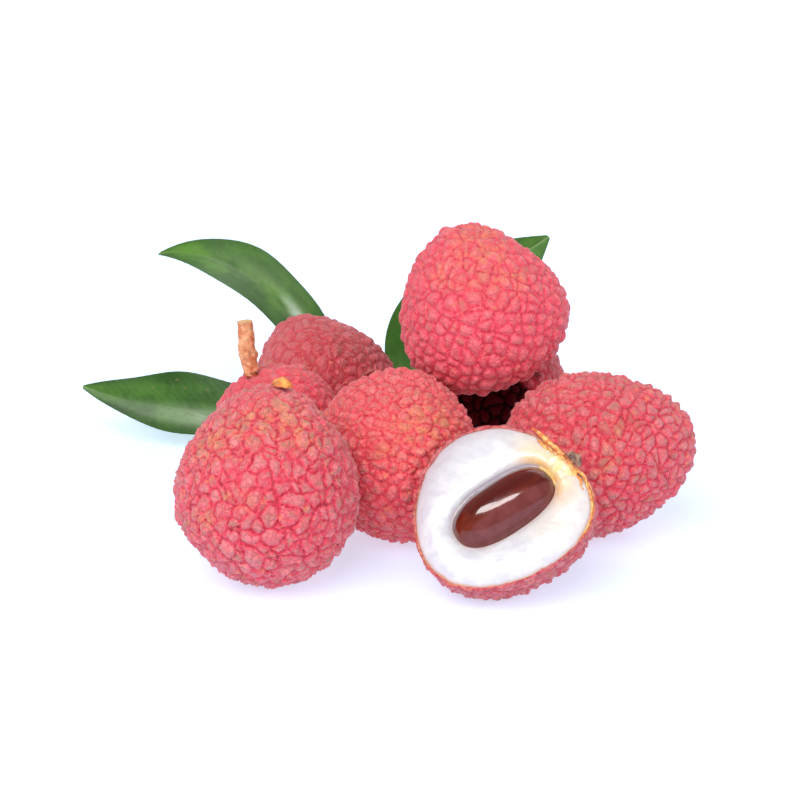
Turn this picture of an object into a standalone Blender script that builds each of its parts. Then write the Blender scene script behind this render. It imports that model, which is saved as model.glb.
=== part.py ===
"""A small heap of lychees: seven whole fruits, one cut half and a leafy sprig.

Every whole fruit is one solid turned about its own stem axis, with a stub of
its stalk in the dip at the stem end.  The cut half is a rind shell, the white
flesh, the seed in its pocket, the pale pith under the stalk and half a stalk
stub.  Three leaflets on short stalks leave a thin rachis that lies on the
surface behind the fruits.  One Blender unit is a metre, +Z is up, and the heap
rests on z = 0.  Sizes below are in millimetres unless they say otherwise.
"""
import math

import bmesh
import bpy
from mathutils import Matrix, Vector

MM = 0.001
GAP = 0.3                      # clearance left between neighbouring pieces

# Whole fruits: centre, stem direction, width, height, taper, dip at the stalk.
# A positive taper makes a fruit broader towards its stem end.
FRUITS = {
    "front_left": ((-25.6, 0.3, 19.5), (0.15, 0.16, 0.97), 35.3, 39.5, -0.14, 0.7),
    "middle": ((-0.3, 22.8, 18.0), (-0.34, 0.42, 0.84), 32.6, 36.9, -0.03, 1.3),
    "right": ((40.7, 23.8, 17.5), (-0.97, -0.01, -0.20), 33.4, 40.4, 0.14, 1.5),
    "top": ((16.6, 42.1, 43.5), (0.33, 0.08, -0.94), 34.8, 36.1, 0.26, 1.2),
    "rear_left": ((-17.0, 75.4, 15.4), (-0.98, -0.15, 0.10), 31.0, 34.1, 0.19, 1.3),
    "rear_low": ((-26.0, 44.4, 14.5), (-0.38, 0.0, 0.92), 29.0, 30.0, 0.03, 0.9),
    "rear_centre": ((20.6, 64.4, 16.7), (0.30, 0.70, 0.45), 33.4, 34.0, 0.08, 1.2),
}
HELD_UP = "top"                # lies on the others; the rest touch the surface
SEGMENTS = 32                  # faces around a fruit
RINGS = 16                     # faces from the stem end to the tip
DIP_SPREAD = 0.40              # angular half width of the dip, radians
LOBE_TWO = 0.012               # share by which a fruit is oval across its axis
LOBE_THREE = 0.007             # and three sided
LOBE_TURN = 1.3                # turn of the lobes from one fruit to the next
REST_SINK = 0.35               # depth of a round belly that its rest flat takes

# Stalk stubs: length, radius at the fruit, half way up and at the cut end.
STUBS = {
    "front_left": (1.9, 1.9, 1.9, 1.5),
    "middle": (0.9, 1.6, 1.6, 1.3),
    "right": (2.4, 1.5, 1.6, 1.2),
    "top": (2.2, 1.5, 1.5, 1.2),
    "rear_left": (4.0, 1.5, 1.7, 1.3),
    "rear_low": (11.6, 1.6, 2.0, 1.6),
    "rear_centre": (2.4, 1.5, 1.5, 1.2),
}
STUB_UPRIGHT = {"rear_low": 0.9}    # how far a long stub bends up to +Z

# The cut half.  The cut runs along the stem axis.
HALF_CENTRE = (19.1, -6.1, 17.1)
HALF_STEM = (0.831, 0.284, 0.479)
HALF_FACE = (-0.224, -0.618, 0.753)
HALF_WIDTH = 35.0
HALF_HEIGHT = 36.1
HALF_DIP = 1.0
HALF_STUB = (1.4, 1.9, 2.0, 1.5)
RIND_THICK = 1.0
SEED_LENGTH = 21.5
SEED_WIDTH = 11.7
SEED_PLACE = (-0.60, -0.8, 0.45)  # seed centre: across, out of the cut face, to the stem
SEED_POWER = 2.5               # 2 is an ellipse, more has blunter ends
PITH_AT_SEED = 3.0             # radius of the pith where it meets the seed
PITH_AT_RIND = 7.0             # radius of the pith where it meets the rind
PITH_SHOULDER = 1.6            # how far its outer edge drops with the rind
PITH_PROUD = 1.0               # the torn pith stands above the cut

# Leaflets: base, middle control point, tip, width, up direction.
LEAVES = {
    "upper_left": ((-13.6, 103.0, 5.8), (-35.4, 103.0, 43.2), (-58.6, 106.0, 38.2),
                   25.2, (0.10, -0.20, 1.0)),
    "lower_left": ((-27.2, 93.0, 2.6), (-49.4, 82.0, 4.4), (-75.0, 84.0, 11.6),
                   26.5, (0.05, -0.28, 1.0)),
    "right": ((0.8, 98.0, 3.8), (9.6, 95.0, 26.4), (35.0, 92.0, 46.0),
              26.0, (-0.20, -0.95, 0.20)),
}
LEAF_THICK = 0.7               # at the midrib
LEAF_EDGE = 0.4                # at the margin
LEAF_TIP_WIDTH = 1.0           # the point and the foot end this wide
LEAF_ALONG = 22                # faces along and across a leaflet
LEAF_ACROSS = 8
LEAF_FOLD = 0.10               # rise of the margins, share of the half width

# Rachis: a thin twig along the surface, its thick end to the right.
RACHIS = ((-28.0, 104.5, 1.6), (-5.0, 101.0, 2.0), (19.0, 105.5, 2.2))
RACHIS_THIN = 1.15
RACHIS_THICK = 1.75
RACHIS_NODES = {"lower_left": 0.04, "upper_left": 0.36, "right": 0.66}
NODE_SWELL = 0.35              # extra radius where a leaflet stalk leaves
NODE_LENGTH = 0.035            # share of the rachis that the swelling takes
LEAF_STALK_RADIUS = 0.9
LEAF_STALK_BEND = 0.3

# Base colours, linear.
RIND_RED = (0.62, 0.070, 0.085, 1.0)
FLESH_WHITE = (0.86, 0.84, 0.83, 1.0)
SEED_BROWN = (0.085, 0.018, 0.009, 1.0)
PITH_YELLOW = (0.72, 0.46, 0.15, 1.0)
STALK_TAN = (0.48, 0.20, 0.08, 1.0)
TWIG_BROWN = (0.17, 0.095, 0.045, 1.0)
LEAF_GREEN = (0.055, 0.17, 0.030, 1.0)
STALK_GREEN = (0.16, 0.19, 0.050, 1.0)


def clear_scene():
    for obj in list(bpy.data.objects):
        bpy.data.objects.remove(obj, do_unlink=True)


def material(name, colour, roughness, coat=0.0):
    mat = bpy.data.materials.new(name)
    mat.use_nodes = True
    shader = mat.node_tree.nodes["Principled BSDF"]
    shader.inputs["Base Color"].default_value = colour
    shader.inputs["Roughness"].default_value = roughness
    shader.inputs["Coat Weight"].default_value = coat
    mat.diffuse_color = colour
    return mat


def metres(point):
    return Vector(point) * MM


def stem_place(centre, stem):
    """Matrix that stands a turned piece at its centre, its +Z along the stem."""
    turn = Vector(stem).to_track_quat('Z', 'Y').to_matrix().to_4x4()
    return Matrix.Translation(metres(centre)) @ turn


def bend(line, u):
    """Point on a bent line given by its start, control point and end."""
    start, middle, end = (metres(p) for p in line)
    return start * (1 - u) ** 2 + middle * 2 * u * (1 - u) + end * u ** 2


def bend_direction(line, u):
    start, middle, end = (metres(p) for p in line)
    return ((middle - start) * (1 - u) + (end - middle) * u).normalized()


def fruit_profile(width, height, taper, dip):
    """Radius and height from the stem end down to the tip."""
    points = []
    for i in range(RINGS + 1):
        t = math.pi * i / RINGS
        radius = width / 2 * math.sin(t) * (1 + taper * math.cos(t))
        level = height / 2 * math.cos(t) - dip * math.exp(-(t / DIP_SPREAD) ** 2)
        points.append((radius, level))
    return points


def seed_profile(width, length):
    """An oblong with blunt ends, a little broader towards the stem."""
    points = []
    for i in range(RINGS + 1):
        c = math.cos(math.pi * i / RINGS)
        radius = width / 2 * (1 - abs(c) ** SEED_POWER) ** (1 / SEED_POWER)
        points.append((radius * (1 + 0.04 * c), length / 2 * c))
    return points


def turn_profile(bm, profile, segments):
    """Spin a profile of (radius, height) pairs all the way round Z."""
    chain = [bm.verts.new((r * MM, 0.0, z * MM)) for r, z in profile]
    edges = [bm.edges.new(pair) for pair in zip(chain, chain[1:])]
    bmesh.ops.spin(bm, geom=chain + edges, cent=(0, 0, 0), axis=(0, 0, 1),
                   angle=2 * math.pi, steps=segments, use_merge=True)
    bmesh.ops.remove_doubles(bm, verts=bm.verts[:], dist=1e-6)


def press_lobes(bm, phase):
    """Make a turned fruit slightly oval and slightly three sided."""
    for vert in bm.verts:
        a = math.atan2(vert.co.y, vert.co.x)
        swell = 1 + LOBE_TWO * math.cos(2 * a + phase)
        swell += LOBE_THREE * math.cos(3 * a + 2 * phase)
        vert.co.x *= swell
        vert.co.y *= swell


def slice_off(bm, point, normal, hollow=False):
    """Take away what lies beyond a plane and close the body with a flat face."""
    parts = bm.verts[:] + bm.edges[:] + bm.faces[:]
    cut = bmesh.ops.bisect_plane(bm, geom=parts, dist=1e-6, plane_co=point,
                                 plane_no=normal, clear_outer=True)
    rim = [e for e in cut["geom_cut"] if isinstance(e, bmesh.types.BMEdge)]
    if hollow:
        bmesh.ops.triangle_fill(bm, use_beauty=True, edges=rim, normal=normal)
    else:
        bmesh.ops.contextual_create(bm, geom=rim)


def rest_flat(bm, place):
    """Let a round belly down on z = 0, cut its rest flat, return its place."""
    lowest = min((place @ v.co).z for v in bm.verts)
    place = Matrix.Translation((0, 0, -lowest - REST_SINK * MM)) @ place
    back = place.inverted()
    slice_off(bm, back @ Vector((0, 0, 0)), back.to_3x3() @ Vector((0, 0, -1)))
    return place


def finish(bm, name, mat, heap, place=Matrix.Identity(4)):
    """Turn the mesh into a named object, placed under the heap's empty."""
    bmesh.ops.recalc_face_normals(bm, faces=bm.faces[:])
    mesh = bpy.data.meshes.new(name)
    bm.to_mesh(mesh)
    bm.free()
    mesh.shade_smooth()
    mesh.set_sharp_from_angle(angle=math.radians(40))
    mesh.materials.append(mat)
    obj = bpy.data.objects.new(name, mesh)
    obj.location = place.to_translation()
    obj.rotation_euler = place.to_euler()
    obj.parent = heap
    bpy.context.scene.collection.objects.link(obj)
    return obj


def whole_fruit(name, spec, mat, heap, phase):
    """One fruit.  Returns the place that it was let down to."""
    centre, stem, width, height, taper, dip = spec
    place = stem_place(centre, stem)
    bm = bmesh.new()
    turn_profile(bm, fruit_profile(width, height, taper, dip), SEGMENTS)
    press_lobes(bm, phase)
    if name != HELD_UP:
        place = rest_flat(bm, place)
    finish(bm, "lychee_" + name, mat, heap, place)
    return place


def tube(name, line, radius_at, mat, heap, sides, steps):
    """A closed rod along a bent line; radius_at gives its radius in mm."""
    bm = bmesh.new()
    rings = []
    across = bend_direction(line, 0.0).orthogonal().normalized()
    for i in range(steps + 1):
        u = i / steps
        along = bend_direction(line, u)
        across = (across - along * across.dot(along)).normalized()
        other = along.cross(across)
        ring = []
        for k in range(sides):
            a = 2 * math.pi * k / sides
            out = math.cos(a) * across + math.sin(a) * other
            ring.append(bm.verts.new(bend(line, u) + radius_at(u) * MM * out))
        loop = [bm.edges.new((ring[k - 1], ring[k])) for k in range(sides)]
        rings.append(loop)
    for first, second in zip(rings, rings[1:]):
        bmesh.ops.bridge_loops(bm, edges=first + second)
    bmesh.ops.contextual_create(bm, geom=rings[0])
    bmesh.ops.contextual_create(bm, geom=rings[-1])
    return finish(bm, name, mat, heap)


def stalk_stub(name, spec, place, mat, heap):
    """Stub of the stalk, standing a hair above the dip at the stem end."""
    _, _, _, height, _, dip = spec
    length, foot, middle, top = STUBS[name]
    start = place @ Vector((0, 0, (height / 2 - dip + GAP) * MM)) / MM
    out = (place.to_3x3() @ Vector((0, 0, 1))).normalized()
    upright = STUB_UPRIGHT.get(name, 0.0)
    final = (out * (1 - upright) + Vector((0, 0, 1)) * upright).normalized()
    knee = start + out * length * 0.25
    end = knee + final * length * 0.75

    def radius_at(u):
        if u < 0.5:
            return foot + (middle - foot) * (2 * u) ** 2
        return middle + (top - middle) * (2 * u - 1) ** 0.7

    tube("stalk_" + name, (start, knee, end), radius_at, mat, heap, 12, 8)


def half_place():
    """Frame of the cut half: +Z along the stem, +Y out of the cut face."""
    stem = Vector(HALF_STEM).normalized()
    face = Vector(HALF_FACE)
    face = (face - stem * face.dot(stem)).normalized()
    turn = Matrix((face.cross(stem), face, stem)).transposed().to_4x4()
    return Matrix.Translation(metres(HALF_CENTRE)) @ turn


def turned_half(profile, segments, proud=0.0):
    """A turned body cut along its axis, its cut face towards +Y."""
    bm = bmesh.new()
    turn_profile(bm, profile, segments)
    slice_off(bm, (0, proud * MM, 0), (0, 1, 0))
    return bm


def cut_rind(mat, heap):
    """The rind shell of the cut half.  Returns the place of the half."""
    bm = bmesh.new()
    turn_profile(bm, fruit_profile(HALF_WIDTH, HALF_HEIGHT, 0.0, HALF_DIP), SEGMENTS)
    inner = fruit_profile(HALF_WIDTH - 2 * RIND_THICK, HALF_HEIGHT - 2 * RIND_THICK,
                          0.0, HALF_DIP)
    turn_profile(bm, inner, SEGMENTS)
    slice_off(bm, (0, 0, 0), (0, 1, 0), hollow=True)
    place = rest_flat(bm, half_place())
    finish(bm, "half_rind", mat, heap, place)
    return place


def pith_profile(grow):
    """The pith between the seed and the rind; grow makes the socket for it."""
    low = SEED_PLACE[2] + SEED_LENGTH / 2 + 2 * GAP
    high = HALF_HEIGHT / 2 - HALF_DIP - RIND_THICK - 0.5
    at_seed = PITH_AT_SEED + grow
    at_rind = PITH_AT_RIND + grow
    if grow:
        return [(0.0, high + 3), (at_rind, high + 3), (at_rind, high - PITH_SHOULDER - grow),
                (at_seed, low - grow), (at_seed, low - 3), (0.0, low - 3)]
    return [(0.0, high), (at_rind * 0.55, high - 0.1), (at_rind, high - PITH_SHOULDER),
            (at_seed, low), (0.0, low)]


def cutter(bm, name, mat, heap, place, body):
    """Cut a body with a hidden helper object."""
    tool = finish(bm, name, mat, heap, place)
    tool.hide_render = True
    tool.display_type = 'WIRE'
    cut = body.modifiers.new(name, 'BOOLEAN')
    cut.operation = 'DIFFERENCE'
    cut.solver = 'EXACT'
    cut.object = tool


def cut_half(heap):
    """Rind shell, flesh, seed, pith and half a stalk stub."""
    flesh_mat = material("flesh", FLESH_WHITE, 0.18, coat=0.4)
    place = cut_rind(material("rind_half", RIND_RED, 0.55), heap)

    inset = 2 * (RIND_THICK + GAP)
    profile = fruit_profile(HALF_WIDTH - inset, HALF_HEIGHT - inset, 0.0, HALF_DIP)
    flesh = finish(turned_half(profile, SEGMENTS), "half_flesh", flesh_mat, heap, place)

    seed_place = place @ Matrix.Translation(metres(SEED_PLACE))
    bm = bmesh.new()
    turn_profile(bm, seed_profile(SEED_WIDTH, SEED_LENGTH), SEGMENTS)
    finish(bm, "half_seed", material("seed", SEED_BROWN, 0.12, coat=0.8), heap,
           seed_place)
    bm = bmesh.new()
    turn_profile(bm, seed_profile(SEED_WIDTH + 2 * GAP, SEED_LENGTH + 2 * GAP), SEGMENTS)
    cutter(bm, "seed_pocket", flesh_mat, heap, seed_place, flesh)

    bm = turned_half(pith_profile(0.0), 20, proud=PITH_PROUD)
    finish(bm, "half_pith", material("pith", PITH_YELLOW, 0.6), heap, place)
    bm = bmesh.new()
    turn_profile(bm, pith_profile(GAP), 20)
    cutter(bm, "pith_socket", flesh_mat, heap, place, flesh)

    length, foot, middle, top = HALF_STUB
    low = HALF_HEIGHT / 2 - HALF_DIP + GAP
    profile = [(0.0, low + length), (top, low + length), (middle, low + length / 2),
               (foot, low), (0.0, low)]
    finish(turned_half(profile, 16), "half_stalk", material("stalk_half", STALK_TAN, 0.75),
           heap, place)


def leaf_half_width(u):
    """Lanceolate outline, from 0 at the foot through 1 and back to 0 at the tip."""
    return math.sin(math.pi * u ** 0.84) ** 0.8 if 0.0 < u < 1.0 else 0.0


def leaf_blade(name, spec, mat, heap):
    """A thin closed blade, trough shaped, thickest along its midrib."""
    line, width, up = spec[:3], spec[3], Vector(spec[4])
    bm = bmesh.new()
    top, under = [], []
    for i in range(LEAF_ALONG + 1):
        u = i / LEAF_ALONG
        along = bend_direction(line, u)
        side = along.cross(up).normalized()
        rise = side.cross(along)
        half = max(width * leaf_half_width(u), LEAF_TIP_WIDTH) / 2 * MM
        top_row, under_row = [], []
        for j in range(LEAF_ACROSS + 1):
            v = 2 * j / LEAF_ACROSS - 1
            point = bend(line, u) + side * v * half + rise * LEAF_FOLD * abs(v) * half
            thick = (LEAF_THICK + (LEAF_EDGE - LEAF_THICK) * abs(v)) * MM
            top_row.append(bm.verts.new(point + rise * thick / 2))
            under_row.append(bm.verts.new(point - rise * thick / 2))
        top.append(top_row)
        under.append(under_row)
    for rows in (top, under):
        for i in range(LEAF_ALONG):
            for j in range(LEAF_ACROSS):
                bm.faces.new((rows[i][j], rows[i][j + 1], rows[i + 1][j + 1],
                              rows[i + 1][j]))
    open_edges = [e for e in bm.edges if e.is_boundary]
    bmesh.ops.bridge_loops(bm, edges=open_edges)
    finish(bm, "leaf_" + name, mat, heap)


def rachis_radius(u):
    radius = RACHIS_THIN + (RACHIS_THICK - RACHIS_THIN) * u
    for node in RACHIS_NODES.values():
        radius += NODE_SWELL * math.exp(-((u - node) / NODE_LENGTH) ** 2)
    return radius


def leaf_stalk(name, spec, mat, heap):
    """The short stalk between the rachis and the foot of a leaflet."""
    u = RACHIS_NODES[name]
    out = bend_direction(spec[:3], 0.0)
    end = Vector(spec[0]) - out * (GAP + 0.2)
    start = bend(RACHIS, u) / MM
    start += (end - start).normalized() * (rachis_radius(u) + GAP + 0.5)
    knee = end - out * (end - start).length * LEAF_STALK_BEND

    def radius_at(w):
        return LEAF_STALK_RADIUS * (1.15 - 0.3 * w)

    tube("leaf_stalk_" + name, (start, knee, end), radius_at, mat, heap, 10, 6)


def sprig(heap):
    """The rachis, and for each leaflet a blade and its short stalk."""
    tube("rachis", RACHIS, rachis_radius, material("rachis", TWIG_BROWN, 0.8), heap, 12, 30)
    green = material("leaf", LEAF_GREEN, 0.35, coat=0.2)
    stalk_green = material("leaf_stalk", STALK_GREEN, 0.6)
    for name, spec in LEAVES.items():
        leaf_blade(name, spec, green, heap)
        leaf_stalk(name, spec, stalk_green, heap)


def centre_heap(heap):
    """Bring the middle of the heap over the origin; the flats stay on z = 0."""
    points = []
    for obj in heap.children:
        if not obj.hide_render:
            points.extend(obj.matrix_basis @ v.co for v in obj.data.vertices)
    for axis in (0, 1):
        values = [p[axis] for p in points]
        heap.location[axis] = -(min(values) + max(values)) / 2


def build():
    clear_scene()
    heap = bpy.data.objects.new("heap", None)
    bpy.context.scene.collection.objects.link(heap)
    for number, (name, spec) in enumerate(FRUITS.items()):
        rind = material("rind_" + name, RIND_RED, 0.55)
        place = whole_fruit(name, spec, rind, heap, LOBE_TURN * number)
        stalk = material("stalk_" + name, STALK_TAN, 0.75)
        stalk_stub(name, spec, place, stalk, heap)
    cut_half(heap)
    sprig(heap)
    centre_heap(heap)


build()
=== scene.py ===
"""The looks of a bunch of lychees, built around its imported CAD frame.

Each CAD solid is replaced by a detailed piece of the same size in the same place:
knobbly rinds with a crack round every knob, the cut half with its flesh, pith and
glossy seed, stalk stubs, veined leaves and the twig they grew on.  Shapes are
worked out in millimetres from the frame's meshes and written in metres.
"""
import math
from collections import namedtuple

import bpy
import numpy as np
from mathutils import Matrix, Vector
from mathutils.bvhtree import BVHTree


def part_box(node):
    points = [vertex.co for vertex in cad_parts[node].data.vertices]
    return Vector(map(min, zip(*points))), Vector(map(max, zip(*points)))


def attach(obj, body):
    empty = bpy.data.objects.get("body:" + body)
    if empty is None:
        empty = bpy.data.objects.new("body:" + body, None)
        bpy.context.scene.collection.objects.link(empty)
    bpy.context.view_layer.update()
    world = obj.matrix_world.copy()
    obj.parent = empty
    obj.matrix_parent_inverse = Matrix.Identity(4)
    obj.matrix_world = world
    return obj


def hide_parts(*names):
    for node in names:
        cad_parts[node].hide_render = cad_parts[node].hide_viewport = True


MM = 0.001
FAR = 100.0                    # mm, outside every fruit
FLOOR_GAP = 0.02               # mm, the lowest that a piece reaches
GOLDEN_ANGLE = math.pi * (3 - math.sqrt(5))

# A rind: faces along each side of a fruit's six patches, knobs over the whole fruit,
# how much flatter they are along the stem, their height and the reach of their walls
# (mm), the shares of a dome and of a point in their tops, the heights of their tips and
# of the lumps on them (mm), how much they lean, how crooked they are, and grit (mm).
Rind = namedtuple("Rind", "grid knobs flat height slope dome point spine petal tilt bend grit")
RINDS = {
    "front_left": Rind(106, 540, 1.00, 0.66, 0.22, 0.95, 0.05, 0.05, 0.30, 0.25, 1.4, 0.07),
    "middle": Rind(102, 640, 1.35, 0.66, 0.26, 0.90, 0.10, 0.08, 0.24, 0.25, 1.2, 0.06),
    "right": Rind(106, 620, 1.05, 0.84, 0.36, 1.00, 0.00, 0.06, 0.16, 0.12, 0.7, 0.05),
    "top": Rind(106, 600, 0.92, 0.74, 0.40, 1.00, 0.00, 0.04, 0.07, 0.10, 0.5, 0.03),
    "rear_left": Rind(78, 460, 1.05, 0.50, 0.34, 0.90, 0.05, 0.06, 0.12, 0.15, 0.9, 0.04),
    "rear_low": Rind(62, 420, 1.00, 0.65, 0.36, 0.80, 0.15, 0.10, 0.16, 0.20, 0.9, 0.05),
    "rear_centre": Rind(56, 440, 1.00, 0.75, 0.36, 0.80, 0.15, 0.12, 0.16, 0.20, 0.9, 0.05),
}
HALF_RIND = Rind(None, 560, 1.00, 0.55, 0.30, 0.90, 0.10, 0.10, 0.22, 0.25, 1.0, 0.08)
UNEVEN = 0.80                  # how much knobs differ in size
JITTER = 0.36                  # how far knobs stray from an even spread
ROUNDING = 8.0                 # per mm, the more the sharper the knobs' corners
PETAL_SIZE = 1.45              # mm, the small lumps that make up a knob
PETAL_NARROWING = 0.25         # share of the lumps' relief that also widens the cracks
SMOOTHING = 50                 # passes that take the CAD facets out of a rind
OUTER_SHARE = 0.70             # share of a knob's height below the CAD surface

# Round spots on single fruits, each with its direction in the object's frame, its
# half width in radians and its strength: low swells (+) and hollows (-) in mm,
# blushes of yellow, and painted shade: a dark patch on the side that faces the
# shaded gap between fruits.
SWELLS = {
    "front_left": [((-0.67, -0.24, -0.70), 0.45, -1.15), ((0.65, 0.24, 0.72), 0.28, -1.05),
                   ((0.05, 0.32, 0.95), 0.25, 0.35), ((1.0, 0.0, 0.0), 0.30, 0.35)],
    "top": [((0.62, 0.25, 0.75), 0.42, -0.60), ((-1.0, 0.0, 0.0), 0.30, 0.20)],
    "right": [((0.47, 0.28, 0.84), 0.30, -0.45)],
    "rear_left": [((-0.45, 0.28, 0.85), 0.35, 1.10)],
}
BLUSHES = {
    "front_left": [((-0.10, -0.45, 0.88), 0.24, 0.9), ((-0.62, -0.35, 0.65), 0.24, 0.9),
                   ((0.45, -0.50, 0.75), 0.20, 0.5), ((0.30, -0.30, 0.90), 0.24, 0.7),
                   ((-0.60, -0.78, -0.05), 0.15, 0.7), ((-0.15, -0.95, 0.20), 0.12, 0.5)],
    "middle": [((0.25, -0.70, 0.65), 0.36, 1.0), ((0.62, -0.45, 0.60), 0.24, 0.8),
               ((-0.15, -0.90, 0.35), 0.14, 0.6)],
    "right": [((-0.55, -0.80, 0.25), 0.22, 0.5), ((-0.05, -0.95, 0.15), 0.18, 0.6),
              ((0.10, -0.80, 0.60), 0.16, 0.5)],
    "top": [((-0.05, -0.68, 0.72), 0.38, 0.85), ((-0.10, -0.25, 0.96), 0.32, 0.7),
            ((-0.55, -0.60, 0.58), 0.18, 0.6), ((0.35, -0.70, 0.60), 0.22, 0.6)],
    "rear_left": [((-0.85, -0.35, 0.40), 0.30, 0.8)],
    "rear_centre": [((0.3, 0.6, 0.5), 0.3, 0.5)],
}
# Painted shade: dark patches on the rear centre fruit where it faces the shaded gaps between the
# fruits in front of it.
GAP_SHADE_SPOTS = {"rear_centre": [((-0.25, -0.95, 0.15), 0.95, 1.0), ((-0.8, -0.5, 0.3), 0.5, 0.8)]}

# The cut half, in mm unless said otherwise.
CUT_LOBES = ((1, -0.024, 0.005), (2, 0.015, 0.003), (3, -0.044, 0.021))  # turns, cos, sin
LOBES_FROM, LOBES_FULL = 9.0, 14.5  # radii between which the lobes set in
CUT_MIDDLE = 0.5155            # of the way from the foot of the cut to its stalk
RIM_PARTS = 430                # steps round the cut
RIND_RINGS = 92                # from the cut to the bottom of the rind
RIM_RELIEF = 0.45              # share of the knobs' relief left at the cut
RIM_THICKNESS = 0.38
FLESH_RINGS = 40               # across the cut face
FLESH_RISE = 1.25              # how far the cut face bulges
SEED_BLUNTNESS = 2.5           # 2 is an ellipsoid, more has blunter ends
SEED_GRID = 46                 # faces along each side of its six patches
SEED_SWELL = 0.10              # how far the skin stands out from the CAD seed
SEED_HALVINGS = 26             # steps of the search for where the skin crosses a level
SEED_ROOM = 0.14               # from the seed's skin to the pocket's wall
STRANDS = 13                   # short strands of pith, besides the long ones
STRAND_STEPS = 34              # points along each strand
# The long strands: start, span, radius, drift, lift, thickness and salt.
LONG_STRANDS = ((-0.10, -0.52, 16.3, 1.5, 1.0, 0.55, 21),
                (-0.22, -0.26, 15.4, 0.3, 0.9, 0.32, 22),
                (0.15, 0.95, 16.8, 0.1, 0.25, 0.22, 23))

TWIG_SIDES = 36                # points round every stalk and twig

# Leaves: rows from stalk to tip, points across, and pairs of side veins.
LEAF_LENGTHWISE = 130
LEAF_CROSSWISE = 44
VEIN_PAIRS = 11
# ---- points and noise

def unit(vectors):
    vectors = np.asarray(vectors, float)
    return vectors / np.linalg.norm(vectors, axis=-1, keepdims=True)


def smoothstep(low, high, value):
    t = np.clip((value - low) / (high - low), 0, 1)
    return t * t * (3 - 2 * t)


def scatter(cells, salt):
    """A fixed number from -1 to 1 for each whole-numbered place."""
    x, y, z = cells.astype(np.int64).T
    key = (x * 73856093) ^ (y * 19349663) ^ (z * 83492791) ^ (salt * 668265263)
    key = (key ^ (key >> 13)) * 1274126177 & 0x7FFFFFFF
    key = (key ^ (key >> 15)) * 2246822519 & 0x7FFFFFFF
    return (key & 0xFFFFF) / 0x7FFFF - 1.0


def noise(points, salt=0):
    """Smooth noise from -1 to 1, one swell to a unit."""
    points = np.asarray(points, float)
    cell = np.floor(points)
    part = points - cell
    fade = part ** 3 * (part * (part * 6 - 15) + 10)
    total = np.zeros(len(points))
    for corner in range(8):
        step = np.array([corner & 1, corner >> 1 & 1, corner >> 2 & 1])
        weight = np.prod(np.where(step, fade, 1 - fade), axis=1)
        total += weight * scatter(cell + step, salt)
    return total


def rough_noise(points, octaves, salt=0):
    """Noise with ever finer and weaker swells added."""
    total = np.zeros(len(points))
    for level in range(octaves):
        total += noise(points * 2 ** level + 7.3 * level, salt + level) / 2 ** level
    return total


def petals(points, size, salt):
    """Distance to the border between small lumps, about 1 at the heart of a lump."""
    points = points / size
    cell = np.floor(points)
    first = np.full(len(points), 9.0)
    second = first.copy()
    for step in np.ndindex(3, 3, 3):
        corner = cell + step[::-1] - 1
        stray = np.stack([scatter(corner, salt + k) for k in range(3)], 1)
        apart = np.linalg.norm(points - corner - 0.5 - 0.42 * stray, axis=1)
        second = np.minimum(second, np.maximum(first, apart))
        first = np.minimum(first, apart)
    return second - first


def turns(count):
    """Angles of even steps once round a circle."""
    return 2 * math.pi * np.arange(count) / count


def main_axis(points):
    """The direction in which a cloud of points is longest."""
    return np.linalg.svd(points - points.mean(0), full_matrices=False)[2][0]


def capped(values):
    """Numbers for a lofted body's points, with a 0 for each of its two ends."""
    return np.concatenate([[0], np.ravel(values), [0]])


def even_directions(count):
    """Directions spread evenly over a ball, from +Z down to -Z."""
    place = np.arange(count) + 0.5
    z = 1 - 2 * place / count
    out = np.sqrt(1 - z * z)
    turn = place * GOLDEN_ANGLE
    return np.stack([out * np.cos(turn), out * np.sin(turn), z], 1)


# ---- the CAD solids

def node_points(node):
    """Vertices of a CAD node in millimetres."""
    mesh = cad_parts[node].data
    points = np.zeros(len(mesh.vertices) * 3)
    mesh.vertices.foreach_get("co", points)
    return points.reshape(-1, 3) / MM


def node_faces(node):
    return [tuple(face.vertices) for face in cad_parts[node].data.polygons]


def node_middle(node):
    low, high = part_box(node)
    return np.array((low + high) / 2) / MM


def node_tree(node):
    return BVHTree.FromPolygons(node_points(node).tolist(), node_faces(node))


def reach(tree, centre, directions):
    """Distance from a centre to a solid's outermost wall along each direction."""
    found = np.full(len(directions), np.nan)
    for i, way in enumerate(directions):
        hit = tree.ray_cast(Vector(centre + way * FAR), Vector(-way))
        if hit[0] is not None:
            found[i] = FAR - hit[3]
    return np.where(np.isnan(found), np.nanmean(found), found)


def plane_cuts(node, start, along, places):
    """For each place along a line, the points where a plane across it cuts a node."""
    points = node_points(node)
    height = (points - start) @ along
    pairs = {tuple(sorted(pair)) for face in node_faces(node)
             for pair in zip(face, face[1:] + face[:1])}
    ends = np.array(sorted(pairs))
    low, high = height[ends[:, 0]], height[ends[:, 1]]
    cuts = []
    for place in places:
        crossing = (low - place) * (high - place) < 0
        share = ((place - low) / np.where(high == low, 1, high - low))[crossing, None]
        a, b = points[ends[crossing, 0]], points[ends[crossing, 1]]
        cuts.append(a + (b - a) * share)
    return cuts


# ---- meshes

def new_piece(node, points, faces, material, slot, **numbers):
    """A mesh that stands for a CAD node, with numbers on its points for the material."""
    points[:, 2] = np.maximum(points[:, 2], FLOOR_GAP)
    mesh = bpy.data.meshes.new(node)
    mesh.from_pydata((points * MM).tolist(), [], [tuple(face) for face in faces])
    mesh.validate()
    mesh.shade_smooth()
    mesh.materials.append(material)
    piece = bpy.data.objects.new(node, mesh)
    bpy.context.scene.collection.objects.link(piece)
    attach(piece, "root")
    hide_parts(node)
    for name, values in numbers.items():
        layer = mesh.attributes.new(name, "FLOAT", "POINT")
        layer.data.foreach_set("value", np.asarray(values, np.float32))


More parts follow.
